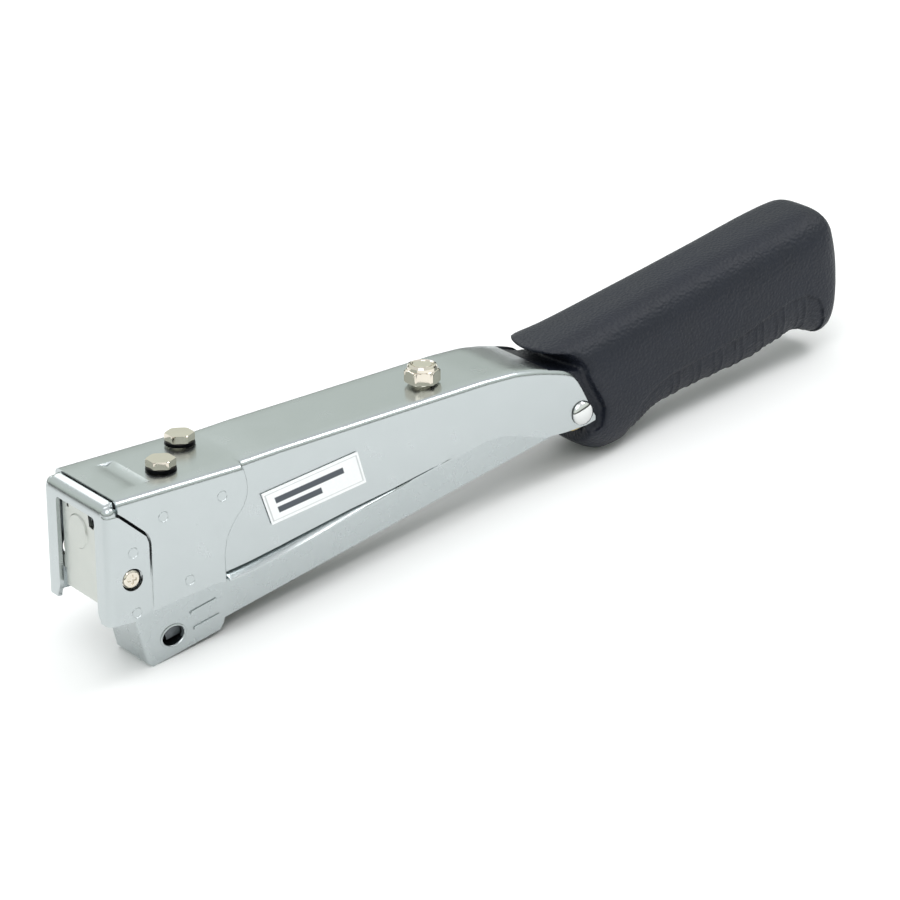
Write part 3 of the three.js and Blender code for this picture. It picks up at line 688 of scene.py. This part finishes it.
def magazine_housing():
    piece = softened("magazine_housing", 0.3, before=round_front_edges)
    rim = oval(*FOOT_HOLE, FOOT_HOLE_LONG + RIM_OUTSIDE, FOOT_HOLE_TALL + RIM_OUTSIDE)
    for side in (-1, 1):
        add_to(piece, bead(rim, side * (FOOT_HALF - 0.1), RIM_BEAD, at_magazine))
    hand_over(piece, "magazine_housing", angle=34, flat_faces=True)

    # The magazine channel's inner walls are painted dark grey: partly duller unplated steel, partly painted shade
    # inside the channel.
    def inside(face):
        x, y, z = in_magazine(face.center)
        return abs(y) < 8.3 and z < -40 and face.normal.y * y <= 0.001 and 5.2 < x < 150
    finish_apart(piece, LINING_PAINTED_SHADE, inside)


magazine_housing()


# ---------- bolts and nut ----------
# Each level is (width across the corners, radius that cuts the corners back, height). ROUND is wide enough
# to leave a plain circle.
ROUND = 99
BOLT, NUT = 9.2, 11.4
BOLT_LEVELS = [
    (BOLT, 2.5, -7), (BOLT, 2.5, 0), (ROUND, 4.5, 0.02), (ROUND, 4.75, 0.12), (ROUND, 4.7, 0.5),
    (ROUND, 4.55, 1.0), (BOLT, 4.4, 1.12), (BOLT, 4.6, 1.2), (BOLT, 4.6, 3.15), (BOLT, 4.5, 3.35),
    (BOLT, 4.3, 3.5), (BOLT, 0.2, 3.52)]
NUT_LEVELS = [
    (NUT, 3.25, 0), (NUT, 4.9, 0), (NUT, 5.5, 0.15), (NUT, 5.7, 0.35), (NUT, 5.7, 3.6), (NUT, 5.35, 4.0),
    (NUT, 5.0, 4.15), (ROUND, 4.75, 4.25), (ROUND, 4.7, 5.2), (ROUND, 4.4, 5.75), (ROUND, 3.8, 5.9),
    (ROUND, 3.5, 5.7), (ROUND, 3.25, 5.3)]
BOLT_SEAT, NUT_SEAT = 0.3, 0.7
# Heights of the band under each bolt head that is painted near black as shade.
SHADE_BAND_LOW, SHADE_BAND_HIGH = 0.03, 1.15


def hex_ring(across_corners, reach, height, sides=72):
    """A level of a chamfered hexagon: the hexagon, cut back to a circle of radius reach."""
    flat = across_corners / 2 * math.cos(math.pi / 6)
    ring = []
    for angle in turns(sides):
        to_flat = (angle + math.pi / 6) % (math.pi / 3) - math.pi / 6
        radius = min(reach, flat / math.cos(to_flat))
        ring.append((radius * math.cos(angle), radius * math.sin(angle), height))
    return ring


def hex_piece(node, x, y, lift, levels):
    """A hexagon fastener on the roof at x, y, with its seat lifted by the gap under it."""
    def place(a, b, c):
        return at_head(x + a, y + b, top_at(x) + lift + c)
    return lofted(node + "_made", [hex_ring(*level) for level in levels], place, closed=True, caps=True)


for node, (x, y) in HEAD_BOLTS.items():
    bolt = hex_piece(node, x, y, BOLT_SEAT, BOLT_LEVELS)
    hand_over(bolt, node, angle=20)
    seat = at_head(x, y, top_at(x) + BOLT_SEAT)
    # The washer band is painted near black: painted shade under the bolt head.
    finish_apart(bolt, WASHER_PAINTED_SHADE,
                 lambda face: SHADE_BAND_LOW < ((face.center - seat) / MM).dot(head_z) < SHADE_BAND_HIGH)
hand_over(hex_piece("lock_nut", *STOP_STUD, NUT_SEAT, NUT_LEVELS), "lock_nut", angle=24)


# ---------- rivet ----------
RIVET_HEAD, RIVET_RISE, RIVET_SHANK = 4.0, 1.9, 2.8


def pivot_rivet():
    reach = BODY_HALF + 0.3
    dome = [(RIVET_HEAD * math.cos(math.radians(a)), RIVET_RISE * math.sin(math.radians(a)))
            for a in range(0, 90, 10)] + [(0.05, RIVET_RISE)]
    levels = [(r, -reach - h) for r, h in reversed(dome)] + [(RIVET_SHANK, -reach), (RIVET_SHANK, reach)]
    levels += [(r, reach + h) for r, h in dome]
    rows = [[(PIVOT_X + r * math.cos(t), y, PIVOT_Z + r * math.sin(t)) for t in turns(48)] for r, y in levels]
    piece = lofted("pivot_rivet_made", rows, at_magazine, closed=True, caps=True)
    hand_over(piece, "pivot_rivet", angle=40)


pivot_rivet()


# ---------- grip ----------
# Top, low edge and half width along the grip, the recessed panel's upper edge, the mouth's outline and the
# room for the tang are in the magazine frame. The room for the shell's end and the collar that fills the
# mouth are in the head frame.
GRIP_TOP = [(150, -25), (160, -26.4), (178, -27), (270, -27), (277, -27.4), (280.8, -29), (283.2, -32.5),
            (284, -37)]
GRIP_LOW = [(150, -50), (168, -61), (171, -66), (176, -70), (184, -71), (191, -69.6), (197, -67.2),
            (203, -66.3), (215, -66.8), (240, -68.6), (256, -67.2), (261, -66.6), (265, -68.6),
            (268.6, -71.4), (272.4, -72.5), (275.4, -71), (277.4, -66.5), (279, -60), (281, -52),
            (283.2, -44), (284, -40)]
GRIP_HALF = [(150, 18), (160, 17.9), (172, 17.6), (185, 17), (200, 16.2), (220, 16), (245, 16.4), (268, 17),
             (274, 16.8), (278.5, 15.6), (281.2, 13.6), (283.2, 11), (284, 8)]
PANEL_TOP = [(186, -66), (190.9, -58.1), (198, -54.8), (205.7, -53.2), (220, -53.6), (234.7, -53.5),
             (257.7, -50.3), (264.3, -51.3), (268.5, -55), (270.2, -60), (270.6, -72)]
MOUTH = [(100, 20), (150, -10), (161, -24), (161, -26.2), (162.4, -28.4), (167, -30.6), (171, -34.6),
         (174, -39.5), (176.4, -47), (177.6, -52), (175.5, -57.6), (170.6, -59), (169.5, -62), (168, -90),
         (100, -90)]
SHELL_ROOM = [(130, -18), (130, 14), (164, 10.6), (172, 8.4), (176, 4.8), (183.4, -11), (184, -15.4),
              (176, -15.4)]
COLLAR = [(163.6, 1.5), (163.6, 7.9), (166, 7.4), (171, 6), (180, 5.2), (188, -2), (188, -16), (180, -16),
          (172, -4)]
TANG_ROOM = [(150, -57.8), (256.3, -57.8), (256.3, -37.7), (150, -37.7)]
COLLAR_HALF, TANG_ROOM_HALF, RIVET_ROOM = 13.9, 11.7, 3.3
GRIP_STATIONS = [*range(150, 273, 2), 274, 275.5, 277, 278.5, 280, 281, 282, 283, 283.6, 284]
ROUNDER_TOP, ROUNDER_LOW = 0.62, 0.7
MOUTH_DISH = 6.5
PANEL_DEPTH, PANEL_SLOPE = 0.85, 0.9
RIB_HEIGHT, RIB_WIDTH, RIB_SLOPE = 0.5, 0.45, 2
RIB_PLACES = [*range(206, 266, 9), *range(209, 266, 9)]
VOXEL = 0.7


def grip_ring(x):
    low, top, half = eased(GRIP_LOW, x, 1.5), eased(GRIP_TOP, x, 1.5), eased(GRIP_HALF, x, 2)
    ring = []
    for angle in turns(64):
        c, s = math.cos(angle), math.sin(angle)
        power = ROUNDER_TOP if s > 0 else ROUNDER_LOW
        y = half * math.copysign(abs(c) ** power, c)
        z = (low + top) / 2 + (top - low) / 2 * math.copysign(abs(s) ** power, s)
        ring.append((x, y, z))
    return ring


def panel_depth(x, z):
    """Depth of the lower panel's recess, less its cross ribs."""
    inside = along_points(PANEL_TOP, x) - z
    if not PANEL_TOP[0][0] < x < PANEL_TOP[-1][0] or inside < 0:
        return 0
    ribs = sum(math.exp(-((x - at) / RIB_WIDTH) ** 2) for at in RIB_PLACES)
    return PANEL_DEPTH * ease(inside / PANEL_SLOPE) - RIB_HEIGHT * min(1, ribs) * ease(inside / RIB_SLOPE)


def mouth_cutter():
    """What the mouth opens out of the grip: its edge curls back towards both sides."""
    rows = []
    for y in (-30, *range(-18, 19, 2), 30):
        back = MOUTH_DISH * min(1.2, (y / 16) ** 2)
        rows.append([(x + back * ease((z + 40) / 10), y, z) for x, z in MOUTH])
    return lofted("mouth_cutter", rows, at_magazine, closed=True, caps=True)


def handle_grip():
    piece = lofted("handle_grip_moulding", [grip_ring(x) for x in GRIP_STATIONS], at_magazine,
                   closed=True, caps=True)
    combine(piece, mouth_cutter())
    room = BODY_HALF + 1.0
    combine(piece, prism("shell_cutter", SHELL_ROOM, -room, room, at_head))
    combine(piece, prism("collar", COLLAR, -COLLAR_HALF, COLLAR_HALF, at_head), "UNION")
    combine(piece, prism("tang_cutter", TANG_ROOM, -TANG_ROOM_HALF, TANG_ROOM_HALF, at_magazine))
    reach = BODY_HALF + 1.2
    combine(piece, prism("rivet_cutter", oval(PIVOT_X, PIVOT_Z, RIVET_ROOM), -reach, reach, at_magazine))
    modify(piece, "REMESH", mode="VOXEL", voxel_size=VOXEL * MM)
    modify(piece, "SMOOTH", factor=0.6, iterations=6)
    settle(piece)
    for vertex in piece.data.vertices:
        x, _, z = in_magazine(vertex.co)
        depth = panel_depth(x, z)
        if depth:
            vertex.co -= vertex.normal * depth * MM
    hand_over(piece, "handle_grip", angle=60)


handle_grip()


# ---------- coil springs ----------
# For each spring: coil radius, length, turns and wire radius, then where it starts and its x, y and z axes.
COILS = {
    "follower_spring": (1.95, 107, 52, 0.35, at_magazine(40.4, 0, -38),
                        (magazine_z, -SIDEWAYS, magazine_x)),
    "return_spring": (5.2, 5.8, 4, 0.6, at_magazine(PIVOT_X, -2.9, PIVOT_Z),
                      (magazine_x, -magazine_z, SIDEWAYS)),
}


def coil_tree():
    """Geometry Nodes tree for a coil spring: a wire swept along a spiral."""
    tree = bpy.data.node_groups.new("coil_spring", "GeometryNodeTree")
    sockets = {}
    for label, kind, value in (("Radius", "NodeSocketFloat", 0.002), ("Length", "NodeSocketFloat", 0.1),
                               ("Turns", "NodeSocketFloat", 30.0), ("Wire", "NodeSocketFloat", 0.0003),
                               ("Steps", "NodeSocketInt", 16), ("Finish", "NodeSocketMaterial", None)):
        socket = tree.interface.new_socket(label, in_out="INPUT", socket_type=kind)
        if value is not None:
            socket.default_value = value
        sockets[label] = socket.identifier
    tree.interface.new_socket("Geometry", in_out="OUTPUT", socket_type="NodeSocketGeometry")
    given = add_node(tree, "NodeGroupInput").outputs
    spiral = add_node(tree, "GeometryNodeCurveSpiral", links={
        "Resolution": given["Steps"], "Rotations": given["Turns"], "Start Radius": given["Radius"],
        "End Radius": given["Radius"], "Height": given["Length"]})
    wire = add_node(tree, "GeometryNodeCurvePrimitiveCircle", {"Resolution": 8}, {"Radius": given["Wire"]})
    swept = add_node(tree, "GeometryNodeCurveToMesh", {"Fill Caps": True}, {
        "Curve": spiral.outputs["Curve"], "Profile Curve": wire.outputs["Curve"]})
    plain = add_node(tree, "GeometryNodeRealizeInstances", links={"Geometry": swept.outputs["Mesh"]})
    finished = add_node(tree, "GeometryNodeSetMaterial", links={
        "Geometry": plain.outputs["Geometry"], "Material": given["Finish"]})
    out = add_node(tree, "NodeGroupOutput")
    tree.links.new(finished.outputs["Geometry"], out.inputs["Geometry"])
    return tree, sockets


def coil(name, radius, length, turn_count, wire, start, axes):
    """A spring in millimetres along its own z, carried to its place in the mesh."""
    piece = new_piece(name, [(0, 0, 0)], [])
    modifier = piece.modifiers.new("coil", "NODES")
    modifier.node_group = COIL_TREE
    values = {"Radius": radius * MM, "Length": length * MM, "Turns": float(turn_count), "Wire": wire * MM,
              "Steps": 18, "Finish": SPRING_STEEL}
    for label, value in values.items():
        modifier[COIL_SOCKETS[label]] = value
    settle(piece)
    piece.data.transform(Matrix.Translation(start) @ Matrix(axes).transposed().to_4x4())
    return piece


COIL_TREE, COIL_SOCKETS = coil_tree()
for node, measures in COILS.items():
    hand_over(coil(node + "_coil", *measures), node, angle=60)


# ---------- label ----------
LABEL_CORNERS = [Vector(c) for c in ((54.6, -7.1), (89.3, -1.4), (92.4, -12), (58.2, -17.8))]
LABEL_CELLS = (140, 44)
FILM_THICKNESS = 0.3
BARS = [((0.1, 0.82), (0.26, 0.45)), ((0.1, 0.56), (0.56, 0.75))]
LINE_ALONG, LINE_UP = (0.02, 0.032), (0.07, 0.105)
LINE_TONE = 0.35


def ink(u, v):
    """How much ink the film carries at a share of its length and height: bars, thin border line, none."""
    if any(u0 < u < u1 and v0 < v < v1 for (u0, u1), (v0, v1) in BARS):
        return 1.0
    from_end, from_edge = min(u, 1 - u), min(v, 1 - v)
    on_line = LINE_ALONG[0] < from_end < LINE_ALONG[1] or LINE_UP[0] < from_edge < LINE_UP[1]
    return LINE_TONE if on_line and from_end > LINE_ALONG[0] and from_edge > LINE_UP[0] else 0.0


def label():
    """White film a little proud of the side; how much ink each vertex carries is kept as an attribute."""
    near_top, far_top, far_low, near_low = LABEL_CORNERS
    along, upward = LABEL_CELLS
    rows, print_mask = [], []
    for v in (j / upward for j in range(upward + 1)):
        row = []
        for u in (i / along for i in range(along + 1)):
            p = (near_top * (1 - u) + far_top * u) * (1 - v) + (near_low * (1 - u) + far_low * u) * v
            row.append((p.x, -BODY_HALF - 0.6, p.y))
            print_mask.append(ink(u, v))
        rows.append(row)
    piece = lofted("label_film", rows, at_head)
    attribute = piece.data.attributes.new("print", "FLOAT", "POINT")
    attribute.data.foreach_set("value", print_mask)
    thicken(piece, -SIDEWAYS, thickness=FILM_THICKNESS * MM)
    hand_over(piece, "label_plate")


label()


# ---------- studio ----------
# Where each square softbox stands, its edge in metres and its power in watts. All three aim at the tool.
SOFTBOXES = {
    "key_softbox": ((-0.5, -0.6, 1.3), 0.9, 7),
    "side_softbox": ((0.9, -0.5, 1.25), 0.5, 6),
    "rear_softbox": ((0.2, 1.2, 1.1), 0.7, 3),
}
AIM = Vector((0, 0, 0.03))
FLOOR_REACH = 6
SKY_STRENGTH = 0.95
# A studio wall that is dark where it meets the floor, then pale, and brightest overhead.
SKY = [(0.0, "#2b2723"), (0.10, "#3d3a36"), (0.2, "#e9f1e8"), (0.45, "#f9fff9"), (0.7, "#f2f5f8"),
       (1.0, "#ffffff")]


def softbox(name, place, size, power):
    data = bpy.data.lights.new(name, "AREA")
    data.shape, data.size, data.energy = "SQUARE", size, power
    lamp = bpy.data.objects.new(name, data)
    lamp.location = place
    lamp.rotation_euler = (AIM - Vector(place)).to_track_quat("-Z", "Y").to_euler()
    bpy.context.scene.collection.objects.link(lamp)


def studio_floor():
    """Matte white backdrop paper, uncoated: flat white with a slight drift from its fibres."""
    corners = [(x * FLOOR_REACH, y * FLOOR_REACH, 0) for x, y in ((-1, -1), (1, -1), (1, 1), (-1, 1))]
    floor = new_piece("studio_floor", corners, [(0, 1, 2, 3)])
    paper, tree, shader, place = new_material("matte_white_backdrop_paper")
    shader.inputs["Roughness"].default_value = 0.9
    fibre = add_node(tree, "ShaderNodeTexNoise", {"Scale": per_metre(40)}, {"Vector": place})
    tree.links.new(mixed(tree, "#fcfcfc", "#f7f7f7", fibre.outputs["Fac"]), shader.inputs["Base Color"])
    floor.data.materials.append(paper)


def studio_sky():
    world = bpy.data.worlds.new("studio")
    world.use_nodes = True
    tree = world.node_tree
    place = add_node(tree, "ShaderNodeTexCoord").outputs["Generated"]
    parts = add_node(tree, "ShaderNodeSeparateXYZ", links={"Vector": place})
    ramp = add_node(tree, "ShaderNodeValToRGB", links={"Fac": parts.outputs["Z"]})
    while len(ramp.color_ramp.elements) < len(SKY):
        ramp.color_ramp.elements.new(0.5)
    for element, (height, tone) in zip(ramp.color_ramp.elements, SKY):
        element.position = height
        element.color = linear(tone)
    background = tree.nodes["Background"]
    tree.links.new(ramp.outputs["Color"], background.inputs["Color"])
    background.inputs["Strength"].default_value = SKY_STRENGTH
    bpy.context.scene.world = world


for name, settings in SOFTBOXES.items():
    softbox(name, *settings)
studio_floor()
studio_sky()
bpy.context.scene.view_settings.view_transform = "Standard"
